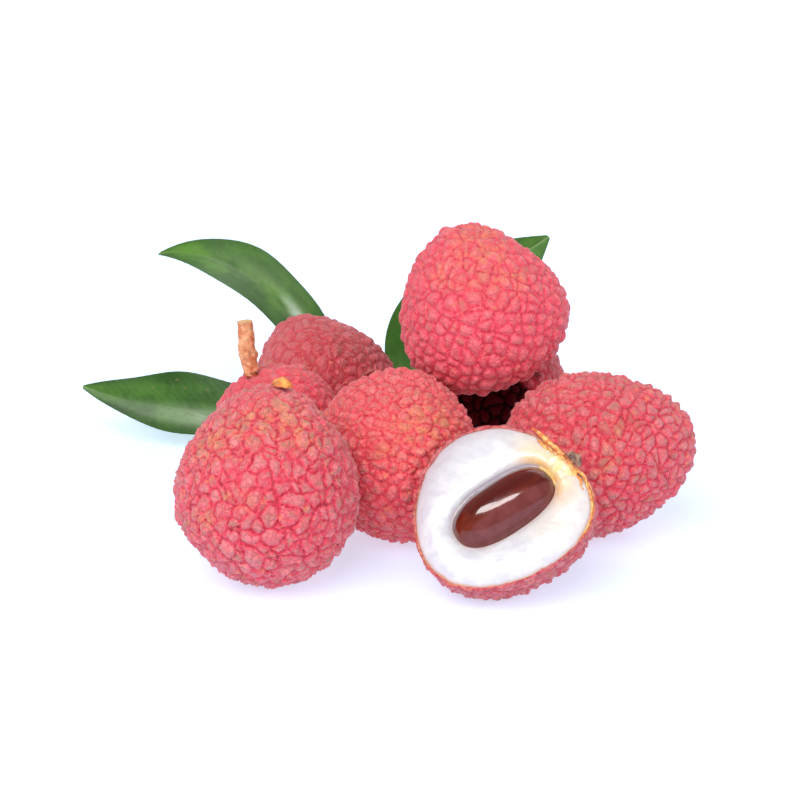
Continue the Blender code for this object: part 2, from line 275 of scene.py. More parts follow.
def ball_grid(side):
    """Directions and faces of a ball made of six square patches."""
    line = np.arange(-side, side + 1, 2)
    a, b = (x.ravel() for x in np.meshgrid(line, line, indexing="ij"))
    top = np.full_like(a, side)
    patches = [np.stack(p, 1) for p in ((top, a, b), (b, top, a), (a, b, top),
                                        (-top, b, a), (a, -top, b), (b, a, -top))]
    corners, index = np.unique(np.concatenate(patches), axis=0, return_inverse=True)
    index = index.reshape(6, side + 1, side + 1)
    quads = np.stack([index[:, :-1, :-1], index[:, 1:, :-1], index[:, 1:, 1:],
                      index[:, :-1, 1:]], -1).reshape(-1, 4)
    return unit(np.tan(corners / side * math.pi / 4)), quads


def evened(values, quads, passes):
    """Values on a grid's points, each drawn to the mean of its neighbours."""
    a = quads.ravel()
    b = np.roll(quads, -1, axis=1).ravel()
    count = np.bincount(a, minlength=len(values))
    for _ in range(passes):
        around = np.bincount(a, weights=values[b], minlength=len(values))
        values = (values + around / count) / 2
    return values


def loft(rings, first, last):
    """Points and faces of a closed body through rings of points and two end points."""
    size = len(rings[0])
    points = np.concatenate([[first], *rings, [last]])
    start = 1 + size * np.arange(len(rings))
    here = np.arange(size)
    after = (here + 1) % size
    faces = [(0, int(b) + 1, int(a) + 1) for a, b in zip(here, after)]
    for low, high in zip(start[:-1], start[1:]):
        faces += np.stack([low + here, low + after, high + after, high + here], 1).tolist()
    end = len(points) - 1
    faces += [(end, int(start[-1] + a), int(start[-1] + b)) for a, b in zip(here, after)]
    return points, faces


# ---- knobs of a rind

def knob_cells(points, seeds, weight, near=9, chunk=8192):
    """The seed that owns each point and its distance to the cell's rounded edge.

    near is how many seeds a point is weighed against, chunk how many points at a time.
    """
    owner = np.zeros(len(points), int)
    edge = np.zeros(len(points))
    square = (seeds ** 2).sum(1) - weight
    for start in range(0, len(points), chunk):
        part = points[start:start + chunk]
        power = square - 2 * part @ seeds.T
        best = np.argpartition(power, near, axis=1)[:, :near]
        value = np.take_along_axis(power, best, 1)
        order = np.argsort(value, axis=1)
        best = np.take_along_axis(best, order, 1)
        value = np.take_along_axis(value, order, 1)
        apart = np.linalg.norm(seeds[best[:, 1:]] - seeds[best[:, :1]], axis=2)
        border = (value[:, 1:] - value[:, :1]) / (2 * apart)
        owner[start:start + chunk] = best[:, 0]
        edge[start:start + chunk] = -np.log(np.exp(-ROUNDING * border).sum(1)) / ROUNDING
    return owner, edge


def crooked(places, look, fine, salt):
    """Places bent by noise, so that the borders between knobs aren't straight."""
    moved = places.copy()
    for size, strength, step in ((6.0, 1.3, 0), (2.1, 0.42 * fine, 9), (0.9, 0.18 * fine, 18)):
        for k in range(3):
            moved[:, k] += strength * noise(places / size, salt + step + k)
    moved[:, 2] *= look.flat
    return moved


def knobs(points, surface, look, salt):
    """Relief of a rind round its +Z stem axis, in mm over its valleys.

    surface gives the rind's point in each direction.  Returns the height at each
    point and the numbers that the rind's material reads.
    """
    rng = np.random.default_rng(salt)
    spread = math.sqrt(4 * math.pi / look.knobs)
    ways = even_directions(look.knobs)
    ways += rng.normal(0, JITTER * spread / 1.7, ways.shape)
    seeds = surface(unit(ways))
    spacing = spread * np.linalg.norm(seeds, axis=1).mean()
    weight = rng.uniform(-1, 1, look.knobs) * UNEVEN * spacing ** 2 / 3
    seeds = crooked(seeds, look, 0.0, salt)
    where = crooked(points, look, look.bend, salt)
    owner, edge = knob_cells(where, seeds, weight)
    fold = smoothstep(-0.05, 0.62, petals(where, PETAL_SIZE, salt + 60))
    edge -= PETAL_NARROWING * look.petal * (1 - fold)

    out = unit(seeds)
    right = unit(np.cross(out, rng.normal(size=out.shape)))
    ahead = np.cross(out, right)
    offset = where - seeds[owner]
    x = (offset * right[owner]).sum(1)
    y = (offset * ahead[owner]).sum(1)
    from_tip = np.hypot(x, y)
    widest = np.full(look.knobs, 0.3)
    np.maximum.at(widest, owner, edge)

    def each(low, high):
        """A random number for each knob, at every point that it owns."""
        return rng.uniform(low, high, look.knobs)[owner]

    share = np.clip(edge / widest[owner], 0, 1)
    wall = 1 - np.exp(-np.maximum(edge, 0) / look.slope)
    level = look.dome * (1 - (1 - share) ** 2) + look.point * share
    level += 1 - look.dome - look.point
    size = (0.50 + 0.50 * widest / widest.mean())[owner] * each(0.72, 1.2)
    lean = look.tilt * x / widest[owner] * each(-1, 1)
    height = look.height * wall * (level * size + lean)
    height += look.petal * 1.3 * wall * (fold - 0.6)
    height += look.spine * each(0, 1.5) * np.exp(-(from_tip / 0.42) ** 2)
    height += (0.35 + 0.65 * wall) * look.grit * rough_noise(points / 0.8, 2, salt)
    return height, dict(crack=np.clip(edge, -0.3, 3), tip=np.exp(-(from_tip / 0.75) ** 2),
                        knob=each(0, 1), kind=each(0, 1))


def spots(directions, marks):
    """Sum of round spots over some directions: each has a direction, width and strength."""
    total = np.zeros(len(directions))
    for way, width, strength in marks:
        apart = np.arccos(np.clip(directions @ unit(way), -1, 1))
        total += strength * np.exp(-(apart / width) ** 2)
    return total


def stem_frame(fruit, stalk):
    """Centre of a fruit and its axes as columns, the last one towards its stalk."""
    centre = node_middle(fruit)
    stub = node_points(stalk)
    near = np.argsort(np.linalg.norm(stub - centre, axis=1))[:len(stub) // 3 + 1]
    stem = unit(stub[near].mean(0) - centre)
    side = unit(np.cross(stem, (0.3, 1.0, 0.2)))
    return centre, np.stack([side, np.cross(stem, side), stem], 1)


def whole_fruit(name, material, salt):
    node = "lychee_" + name
    look = RINDS[name]
    centre, axes = stem_frame(node, "stalk_" + name)
    tree = node_tree(node)

    def surface(local):
        return local * reach(tree, centre, local @ axes.T)[:, None]

    local, quads = ball_grid(look.grid)
    out = local @ axes.T
    radius = evened(reach(tree, centre, out), quads, SMOOTHING)
    height, numbers = knobs(local * radius[:, None], surface, look, salt)
    to_stem = np.arccos(np.clip(local[:, 2], -1, 1))
    height *= smoothstep(0.02, 0.22, to_stem) * 0.7 + 0.3
    radius += height - OUTER_SHARE * look.height + spots(out, SWELLS.get(name, ()))
    points = centre + (local * radius[:, None]) @ axes.T
    # Blushes are the rind's own colour; the second set of spots is painted shade.
    for kind, marks in (("blush", BLUSHES), ("gap_shade_share", GAP_SHADE_SPOTS)):
        numbers[kind] = np.clip(spots(out, marks.get(name, ())), 0, 1)
    new_piece(node, points, quads, material, "rind_" + name, **numbers)


# ---- the cut half

class Half:
    """The cut half's own axes: x across, y to the stalk, z out of the cut face."""

    def __init__(self):
        totals = {}
        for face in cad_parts["half_flesh"].data.polygons:
            key = tuple(round(c, 2) for c in face.normal)
            totals[key] = totals.get(key, 0.0) + face.area
        out = unit(max(totals, key=totals.get))
        seed = node_points("half_seed")
        stem = main_axis(seed)
        stem = unit(stem - out * (stem @ out))
        if stem @ (node_middle("half_stalk") - seed.mean(0)) < 0:
            stem = -stem
        self.axes = np.stack([np.cross(stem, out), stem, out], 1)
        rind = node_points("half_rind") @ self.axes
        low, high = rind.min(0), rind.max(0)
        middle = (1 - CUT_MIDDLE) * low[1] + CUT_MIDDLE * high[1]
        self.centre = self.axes @ ((low[0] + high[0]) / 2, middle, high[2])

    def local(self, points):
        return (points - self.centre) @ self.axes

    def pressed(self, points):
        """The rind and the flesh pressed into the cut's three sided outline."""
        turn = np.arctan2(points[:, 1], points[:, 0])
        swell = sum(c * np.cos(n * turn) + s * np.sin(n * turn) for n, c, s in CUT_LOBES)
        swell = swell * smoothstep(LOBES_FROM, LOBES_FULL, np.linalg.norm(points, axis=1))
        return points * np.stack([1 + swell, 1 + swell, np.ones(len(points))], 1)

    def world(self, points):
        return self.centre + points @ self.axes.T

    def piece(self, node, points, faces, material, slot, **numbers):
        """A pressed piece of the half, from points in its own axes."""
        new_piece(node, self.world(self.pressed(points)), faces, material, slot, **numbers)

    def surface(self, node):
        """A solid's surface in each direction, mirrored in the cut for those above it."""
        tree = node_tree(node)

        def found(ways):
            below = np.array(ways)
            below[:, 2] = np.minimum(-np.abs(below[:, 2]), -0.012)
            return reach(tree, self.centre, unit(below) @ self.axes.T)[:, None] * ways
        return found


class Seed:
    """Size and place of the seed in the half's axes."""

    def __init__(self, half):
        points = half.local(node_points("half_seed"))
        low, high = points.min(0), points.max(0)
        self.centre = (low + high) / 2
        self.across = (high[0] - low[0]) / 2
        self.along = (high[1] - low[1]) / 2

    def fullness(self, offset, gap):
        """Below 1 inside the seed, above 1 outside it."""
        side = np.hypot(offset[:, 0], offset[:, 2]) / (self.across + gap)
        along = np.abs(offset[:, 1]) / (self.along + gap)
        return side ** SEED_BLUNTNESS + along ** SEED_BLUNTNESS

    def skin(self, ways, gap=0.0):
        reach_out = self.fullness(ways, gap) ** (-1 / SEED_BLUNTNESS)
        return self.centre + ways * reach_out[:, None]

    def outline(self, ways, level, gap=0.0):
        """Where the seed's skin crosses a level, in each direction across the cut."""
        inner, outer = np.zeros(len(ways)), np.full(len(ways), self.along + gap)
        offset = np.zeros((len(ways), 3))
        offset[:, 2] = level - self.centre[2]
        for _ in range(SEED_HALVINGS):
            middle = (inner + outer) / 2
            offset[:, :2] = ways[:, :2] * middle[:, None]
            inside = self.fullness(offset, gap) < 1
            inner = np.where(inside, middle, inner)
            outer = np.where(inside, outer, middle)
        offset[:, :2] = ways[:, :2] * inner[:, None]
        return self.centre + offset


def ring_ways(dip):
    """Directions round the cut that dip below it by an angle."""
    turn = turns(RIM_PARTS)
    return np.stack([np.cos(turn) * math.cos(dip), np.sin(turn) * math.cos(dip),
                     np.full(RIM_PARTS, -math.sin(dip))], 1)


def stem_up(points):
    """The half's axes turned so that the stem is +Z."""
    return points[:, [0, 2, 1]] * (1, -1, 1)


def stem_back(points):
    """The reverse of stem_up."""
    return points[:, [0, 2, 1]] * (1, 1, -1)


def smooth_rings(radius, passes):
    """Rings of radii drawn to their neighbours along and across the rings."""
    grid = radius.reshape(-1, RIM_PARTS)
    for _ in range(passes):
        across = np.vstack([grid[:1], grid, grid[-1:]])
        grid = (grid * 2 + np.roll(grid, 1, 1) + np.roll(grid, -1, 1)
                + across[:-2] + across[2:]) / 6
    return grid


def rind_rim(outer, inner):
    """Rings over the thin ragged rim, from the outer edge to the inner one."""
    way = ring_ways(0.0)
    edge = np.linalg.norm(outer[:, :2], axis=1)
    ragged = 0.14 * noise(outer / 1.1, 5) + 0.06 * noise(outer / 0.4, 6)
    far = smoothstep(-0.2, 0.7, -way[:, 0])
    rings = []
    for share, lift in ((0.25, 0.08), (0.5, 0.13), (0.75, 0.10), (1.0, 0.0)):
        ring = way * (edge * (1 - share) + inner * share)[:, None]
        ring[:, 2] += lift + ragged * (0.5 + share) - 0.35 * far
        rings.append(ring)
    return rings


def half_rind(half, material):
    """A knobbly shell with a thin ragged rim.  Returns the rim's inner radii."""
    surface = half.surface("half_rind")
    dips = np.linspace(0, math.pi / 2, RIND_RINGS + 1)[:-1]
    ways = np.concatenate([ring_ways(dip) for dip in dips])
    even = smooth_rings(np.linalg.norm(surface(ways), axis=1), passes=30)
    radius = even.ravel()
    height, numbers = knobs(stem_up(ways * radius[:, None]),
                            lambda knob_ways: stem_up(surface(stem_back(knob_ways))),
                            HALF_RIND, 411)
    calm = RIM_RELIEF + (1 - RIM_RELIEF) * smoothstep(0.0, 0.35, np.repeat(dips, RIM_PARTS))
    radius = radius + calm * (height - OUTER_SHARE * HALF_RIND.height)
    outer = (ways * radius[:, None]).reshape(-1, RIM_PARTS, 3)
    inner = even[0] - RIM_RELIEF * OUTER_SHARE * HALF_RIND.height - RIM_THICKNESS
    inner += 0.12 * noise(outer[0] / 2.4, 7)
    inside = [ring_ways(dip) * (inner - 0.5 * smoothstep(0.0, 0.3, dip))[:, None]
              for dip in np.linspace(0.08, math.pi / 2, 12)[:-1]]
    bottom = np.array([0, 0, -radius[-RIM_PARTS:].mean()])
    points, faces = loft([*outer[::-1], *rind_rim(outer[0], inner), *inside], bottom,
                         bottom + (0, 0, 1.8))

    first_rim = 1 + len(ways)
    for name, values in numbers.items():
        flipped = values.reshape(-1, RIM_PARTS)[::-1].ravel()
        last = np.resize(flipped[-RIM_PARTS:], len(points) - first_rim)
        numbers[name] = np.concatenate([flipped[:1], flipped, last])
    lining = np.zeros(len(points))
    lining[first_rim:] = 1.0
    lining[first_rim:first_rim + RIM_PARTS] = 0.5
    turn = np.arctan2(points[:, 0], points[:, 1])
    warm = smoothstep(-0.75, -0.35, turn) * smoothstep(1.45, 0.75, turn)
    warm = np.maximum(warm, 0.45 * smoothstep(0.8, 0.3, np.abs(np.abs(turn) - 2.9)))
    half.piece("half_rind", points, faces, material, "rind_half", lining=lining, warm=warm,
               **numbers)
    return inner


def half_seed(half, seed, material):
    """A glossy seed with faint lengthwise dents and a dull scar at the stalk end."""
    ways, quads = ball_grid(SEED_GRID)
    points = seed.skin(ways, SEED_SWELL)
    dents = 0.10 * noise(points * (0.22, 0.10, 0.22), 3)
    dents += 0.03 * noise(points * (0.9, 0.16, 0.9), 4)
    points = points + ways * (dents - 0.05)[:, None]
    band = noise(points * (0.45, 0.07, 0.45), 8) + 0.5 * noise(points * (1.3, 0.12, 1.3), 9)
    # upper and lower are masks for the painted dark and mauve reflections across the seed.
    side = points[:, 0] - seed.centre[0]
    new_piece("half_seed", half.world(points), quads, material, "seed", band=band,
              scar=smoothstep(0.93, 0.99, ways[:, 1]), upper=smoothstep(-4.8, -0.6, side),
              lower=smoothstep(1.2, 2.2, side))


def flesh_below(surface, inner):
    """Rings up the flesh from its bottom to the rim."""
    dips = np.linspace(math.pi / 2, 0.16, 22)[1:]
    radii = np.linalg.norm(surface(np.concatenate([ring_ways(d) for d in dips])), axis=1)
    radii = np.minimum(smooth_rings(radii, passes=12) - 0.25, inner - 0.1)
    return [ring_ways(dip) * row[:, None] for dip, row in zip(dips, radii)]


def flesh_face(rim, lip, lip_level):
    """Rings across the bulging cut face, from the rind to the lip of the pocket."""
    width = np.linalg.norm(rim[:, :2] - lip[:, :2], axis=1)
    rings = []
    for share in np.linspace(0, 1, FLESH_RINGS) ** 1.1:
        ring = rim * (1 - share) + lip * share
        from_rim = share * width
        from_lip = (1 - share) * width
        rise = 1 - np.exp(-(from_rim / 1.5) ** 1.1)
        bulge = FLESH_RISE * math.sin(math.pi * min(1.0, 0.15 + share * 0.85)) ** 0.8
        edge_drop = 0.45 * np.exp(-(from_rim / 0.35) ** 1.5)
        round_lip = 0.22 * np.exp(-(from_lip / 0.5) ** 1.5)
        grain = 0.10 * noise(ring / 2.6, 21) + 0.04 * noise(ring / 0.9, 22)
        ring[:, 2] = rise * (bulge + lip_level * share) - edge_drop - round_lip + grain
        rings.append(ring)
    return rings


def half_flesh(half, seed, inner, material):
    """White flesh: a bulging cut face that slopes into the seed's pocket on one side."""
    way = ring_ways(0.0)
    sunken = smoothstep(-0.1, 0.75, -way[:, 0] + 0.25 * way[:, 1])
    torn = 1 + 0.16 * noise(way * 2.2, 33) + 0.03 * noise(way * 9.0, 34)
    bevel = 0.10 + 0.66 * sunken * torn
    lip_level = 0.45 + 0.50 * sunken
    touch_level = 0.36 + 0.10 * sunken
    touch = seed.outline(way, touch_level, SEED_SWELL + 0.02)
    lip = seed.outline(way, touch_level, SEED_SWELL + 0.05 + bevel)
    lip[:, 2] = lip_level

    below = flesh_below(half.surface("half_flesh"), inner)
    rings = below + flesh_face(way * (inner - 0.02)[:, None], lip, lip_level)
    pocket_from = len(rings)
    lip = rings[-1]
    for share in (0.25, 0.5, 0.75, 1.0):
        slope = lip * (1 - share) + touch * share
        slope[:, 2] -= 0.25 * bevel * math.sin(math.pi * share)
        rings.append(slope + 0.05 * share * (1 - share) * noise(slope / 0.6, 35)[:, None])
    for level in np.linspace(-0.2, seed.centre[2] - seed.across * 0.85, 9):
        rings.append(seed.outline(way, level, SEED_SWELL + SEED_ROOM))
    first = np.array([0, 0, -np.linalg.norm(below[0], axis=1).mean()])
    last = seed.centre - (0, 0, seed.across + SEED_SWELL + SEED_ROOM)
    points, faces = loft(rings, first, last)

    row = np.clip((np.arange(len(points)) - 1) // RIM_PARTS, 0, len(rings) - 1)
    pocket = smoothstep(pocket_from - 1.6, pocket_from, row)
    flat = points[:, :2]
    edge = np.interp(np.arctan2(flat[:, 1], flat[:, 0]) % (2 * math.pi),
                     turns(RIM_PARTS), inner)
    from_edge = np.maximum(edge - np.linalg.norm(flat, axis=1), 0)

    def patch(middle, size):
        return np.exp(-np.linalg.norm((flat - middle) / size, axis=1) ** 2)

    # shade and depth, and the mask for the left edge, place painted shade in the flesh's
    # material.
    half.piece("half_flesh", points, faces, material, "flesh", pocket=pocket,
               shade=pocket * capped(np.tile(sunken, len(rings))),
               depth=np.clip((row - pocket_from + 1) / 4, 0, 1),
               rim=np.exp(-from_edge / 0.55), right=patch((10.0, 5.5), (5.0, 5.5)),
               left=smoothstep(-4.0, -15.0, flat[:, 0] * 0.8 + flat[:, 1] * 0.3),
               pith=patch((-1.2, 12.0), (6.4, 3.6)), glow=patch((0.2, 10.4), (6.0, 3.0)))


# ---- pith

def curve_through(marks, count):
    """Points on a smooth curve through a few marks."""
    ends = np.vstack([2 * marks[0] - marks[1], marks, 2 * marks[-1] - marks[-2]])
    place = np.linspace(0, len(marks) - 1, count)
    first = np.minimum(place.astype(int), len(marks) - 2)
    t = (place - first)[:, None]
    a, b, c, d = (ends[first + k] for k in range(4))
    return 0.5 * (2 * b + (c - a) * t + (2 * a - 5 * b + 4 * c - d) * t * t
                  + (3 * b - a - 3 * c + d) * t ** 3)


def circles(path, sides):
    """A circle of unit offsets round each point of a path, right-handed along it."""
    along = unit(np.gradient(path, axis=0))
    side = unit(np.cross(along, (0.31, 0.17, 0.93)))
    up = np.cross(along, side)
    turn = turns(sides)[:, None]
    return [np.cos(turn) * s + np.sin(turn) * u for s, u in zip(side, up)]


def joined(parts):
    """Several closed bodies as one array of points and one list of faces."""
    points, faces, start = [], [], 0
    for some_points, some_faces in parts:
        points.append(some_points)
        faces += [tuple(i + start for i in face) for face in some_faces]
        start += len(some_points)
    return np.concatenate(points), faces


def pith_body():
    """The torn fan of pith between the seed's end and the rim."""
    steps, across = 52, 84
    turn = -turns(across)
    x, up = np.cos(turn), np.sin(turn)
    round_off = np.sqrt(np.maximum(1 - x * x, 0))
    rings = []
    for q in np.linspace(0, 1, steps):
        y = 10.7 + 5.5 * q
        middle = -0.3 + 0.5 * q
        half_width = 3.2 + 1.2 * smoothstep(0.0, 0.4, q) + 1.0 * smoothstep(0.5, 1.0, q)
        half_width += 0.6 * noise(np.array([[q * 5.0, 0.3, 0.7]]), 64)[0]
        thick = 0.7 + 1.1 * smoothstep(0.05, 0.5, q) - 0.7 * smoothstep(0.7, 1.0, q)
        where = np.stack([x * half_width, np.full(across, q * 6.0), 0 * x], 1)
        ridge = noise(where * (1.1, 0.25, 1), 61) + 0.5 * noise(where * (2.6, 0.6, 1), 62)
        level = np.where(up > 0, thick * round_off ** 1.5 * (1 + 0.28 * ridge), -1.8 * round_off)
        bow = -0.05 * (x * half_width) ** 2 * q
        ring = np.stack([middle + x * half_width, y + bow + 0.25 * ridge * q, level], 1)
        rings.append(ring + 0.10 * noise(ring / 0.7, 63)[:, None])
    return loft(rings, rings[0].mean(0), rings[-1].mean(0))


def rim_strand(start, span, near, drift, lift, thick, salt):
    """A tapering strand that follows the rim; angles are from the stalk, in radians."""
    w = np.linspace(0, 1, 6)
    turn = math.pi / 2 - start - span * w
    radius = near + drift * w + 0.25 * np.sin(5 * w + salt)
    level = 0.3 + lift * np.sin(2.4 * w) + 0.12 * np.sin(9 * w + salt)
    marks = np.stack([radius * np.cos(turn), radius * np.sin(turn), level], 1)
    path = curve_through(marks, STRAND_STEPS)
    radii = thick * np.sin(np.linspace(0.5, math.pi - 0.08, STRAND_STEPS)) ** 0.7 + 0.02
    rings = []
    for point, circle, radius in zip(path, circles(path, 10), radii):
        ring = circle * radius * (1, 1, 0.7)
        ring *= 1 + 0.22 * noise((point + ring) / 0.45, salt)[:, None]
        rings.append(point + ring)
    return loft(rings, path[0], path[-1])


def half_pith(half, material):
    """Pith with loose strands that run along the rim and stand away from it."""
    rng = np.random.default_rng(77)
    parts = [pith_body()]
    for salt in range(STRANDS):
        start = rng.uniform(-0.42, 0.42)
        span = rng.uniform(0.10, 0.30) * rng.choice((-1, 1))
        parts.append(rim_strand(start, span, rng.uniform(15.2, 16.5), rng.uniform(-0.4, 0.5),
                                rng.uniform(0.1, 0.7), rng.uniform(0.16, 0.38), salt))
    parts += [rim_strand(*strand) for strand in LONG_STRANDS]
    points, faces = joined(parts)
    side = np.maximum(smoothstep(1.8, 4.2, np.abs(points[:, 0])),
                      smoothstep(13.0, 11.2, points[:, 1]))
    outer = smoothstep(14.6, 16.0, np.linalg.norm(points[:, :2], axis=1))
    half.piece("half_pith", points, faces, material, "pith", outer=outer, side=side)


# ---- stalks and twigs

def twig_line(node, along, count):
    """Centre line and radius of a CAD tube, read from cuts across it."""
    points = node_points(node)
    along = unit(main_axis(points) if along is None else along)
    start = points.mean(0)
    height = (points - start) @ along
    low, high = height.min(), height.max()
    margin = 0.03 * (high - low)
    line, radii = [], []
    for cut in plane_cuts(node, start, along, np.linspace(low + margin, high - margin, count)):
        middle = (cut.min(0) + cut.max(0)) / 2
        line.append(middle)
        radii.append(np.linalg.norm(cut - middle, axis=1).mean())
    line[0] = line[0] - along * margin
    line[-1] = line[-1] + along * margin
    return np.array(line), np.array(radii)


def twig(node, material, slot, along, count, knobbly, ribs, salt, domed=0.0, root=0.0):
    """A woody piece with ribs and knobs, its far end domed or broken off hollow.

    domed is the share of its length that rounds off, root how many mm its near end is
    drawn out to reach into the rind.
    """
    path, radii = twig_line(node, along, count)
    path = path + root * unit(path[0] - path[-1]) * np.linspace(1, 0, count)[:, None]
    end_way = unit(np.gradient(path, axis=0))[-1]
    share = np.linspace(0, 1, count)
    if domed:
        radii = radii * np.sqrt(np.clip(1 - smoothstep(1 - domed, 1.0, share) ** 2, 0.02, 1))
    turn = turns(TWIG_SIDES)
    rings = []
    for place, radius, circle in zip(path, radii, circles(path, TWIG_SIDES)):
        where = place + circle * radius
        swell = knobbly * rough_noise(where / 1.6, 2, salt)
        swell += ribs * np.cos(turn * 7 + 2.0 * noise(where / 2.5, salt + 5))
        rings.append(place + circle * (radius * (1 + swell))[:, None])
    top = rings[-1]
    middle = top.mean(0)
    for inner, sink in ((0.82, -0.03), (0.6, 0.06), (0.3, 0.14)):
        rough = 0.05 * noise(top * 3 * inner, salt + 8)[:, None]
        rings.append(middle + (top - middle) * inner - end_way * (sink * radii[-1] - rough))
    points, faces = loft(rings, path[0], rings[-1].mean(0) - end_way * 0.05)
    cut_end = np.zeros(len(points))
    cut_end[1 + count * TWIG_SIDES:] = 0.0 if domed else 1.0
    new_piece(node, points, faces, material, slot, cut_end=cut_end)


# ---- leaves

def leaf_outline(node, middle, along, across, out):
    """Rows down a leaf: share, place, then centre, width, level, slope and fold; length."""
    height = (node_points(node) - middle) @ along
    low, high = height.min(), height.max()
    places = np.linspace(low + 0.25, high - 0.25, 60)
    rows = []
    for cut in plane_cuts(node, middle, along, places):
        t, n = (cut - middle) @ across, (cut - middle) @ out
        centre, wide = (t.min() + t.max()) / 2, (t.max() - t.min()) / 2
        terms = np.stack([np.ones(len(t)), t - centre, np.abs(t - centre)], 1)
        level, slope, fold = np.linalg.lstsq(terms, n, rcond=None)[0]
        if wide < 2.0:
            slope = fold = np.nan
        rows.append((centre, wide, level, slope, fold))
    rows = np.array(rows)
    share = np.linspace(0, 1, len(rows))
    for column in (3, 4):
        good = np.isfinite(rows[:, column])
        rows[:, column] = np.interp(share, share[good], rows[good, column])
    for column in (0, 2, 3, 4):
        rows[:, column] = np.polyval(np.polyfit(share, rows[:, column], 5), share)
    u = np.linspace(0, 1, LEAF_LENGTHWISE)
    columns = [u] + [np.interp(u, share, known) for known in (places, *rows.T)]
    return [column[:, None] for column in columns], high - low


def leaf_axes(name):
    """Middle of a leaf and its axes: to the tip, across, and out of the upper side."""
    points = node_points("leaf_" + name)
    middle = points.mean(0)
    along, across, _ = np.linalg.svd(points - middle, full_matrices=False)[2]
    if (node_middle("leaf_stalk_" + name) - middle) @ along > 0:
        along = -along
    out = np.cross(along, across)
    if out @ (0.0, -0.2, 1.0) < 0:
        across, out = -across, -out
    return middle, along, across, out


def both_sides(upper, lower):
    """Rows that run back along a leaf's lower side and then along its upper one."""
    return np.concatenate([upper, lower[:, -2:0:-1]], 1)[:, ::-1]


def leaf(name, material, salt):
    """A closed blade with a sunken midrib, arching veins and a wavy margin."""
    node = "leaf_" + name
    middle, along, across, out = leaf_axes(name)
    (u, place, centre, wide, level, slope, fold), length = leaf_outline(
        node, middle, along, across, out)
    wide = np.maximum(wide, 0.12)
    even = np.linspace(-1, 1, LEAF_CROSSWISE)
    v = 0.5 * even - 0.5 * np.cos(math.pi * (even + 1) / 2)
    t = v * wide
    ripple = np.sin(math.pi * u) * np.abs(v) ** 3 * np.sin(u * 13 + 2 * salt + 0.9 * np.sign(v))
    spot = u * length - 0.62 * np.abs(t) + 0.014 * t * t + 0.5 * np.sin(t + salt)
    phase = spot / length * VEIN_PAIRS * 2 + 0.3 * np.sign(v)
    wave = phase - np.floor(phase)
    vein = np.exp(-((wave - 0.5) / 0.075) ** 2) * (1 - np.abs(v) ** 4)
    puff = 0.5 - 0.5 * np.cos(2 * math.pi * (wave - 0.5))
    rib = np.exp(-(t / (0.55 - 0.3 * u)) ** 2)
    relief = (0.03 * puff - 0.015 * vein) * (1 - rib) * np.minimum(1.0, wide / 5)
    rise = level + slope * t + fold * np.abs(t) + 0.45 * ripple
    top = rise + relief - 0.20 * rib + 0.16
    thick = 0.16 + 0.14 * np.sqrt(np.maximum(1 - v * v, 0)) + 0.45 * rib * (1 - 0.6 * u)
    base = middle + place[..., None] * along + (centre + t)[..., None] * across
    rings = both_sides(base + top[..., None] * out, base + (top - thick)[..., None] * out)
    points, faces = loft(rings, rings[0].mean(0) - along * 0.2, rings[-1].mean(0) + along * 0.2)
    sides = {"vein": (vein, vein), "rib": (rib, rib), "under": (0 * t, 0 * t + 1),
             "across": (0 * t + v, 0 * t + v), "along": (u + 0 * t, u + 0 * t)}
    numbers = {key: capped(both_sides(*values)) for key, values in sides.items()}
    numbers["along"][-1] = 1.0
    new_piece(node, points, faces, material, "leaf", **numbers)


# ---- material nodes

def linear(tone):
    """Linear colour of a 0 to 255 triple, as a screen shows it; a socket stays as it is."""
    if isinstance(tone, bpy.types.NodeSocket):
        return tone
    shares = [value / 255 for value in tone]
    return [s / 12.92 if s <= 0.04045 else ((s + 0.055) / 1.055) ** 2.4 for s in shares] + [1.0]


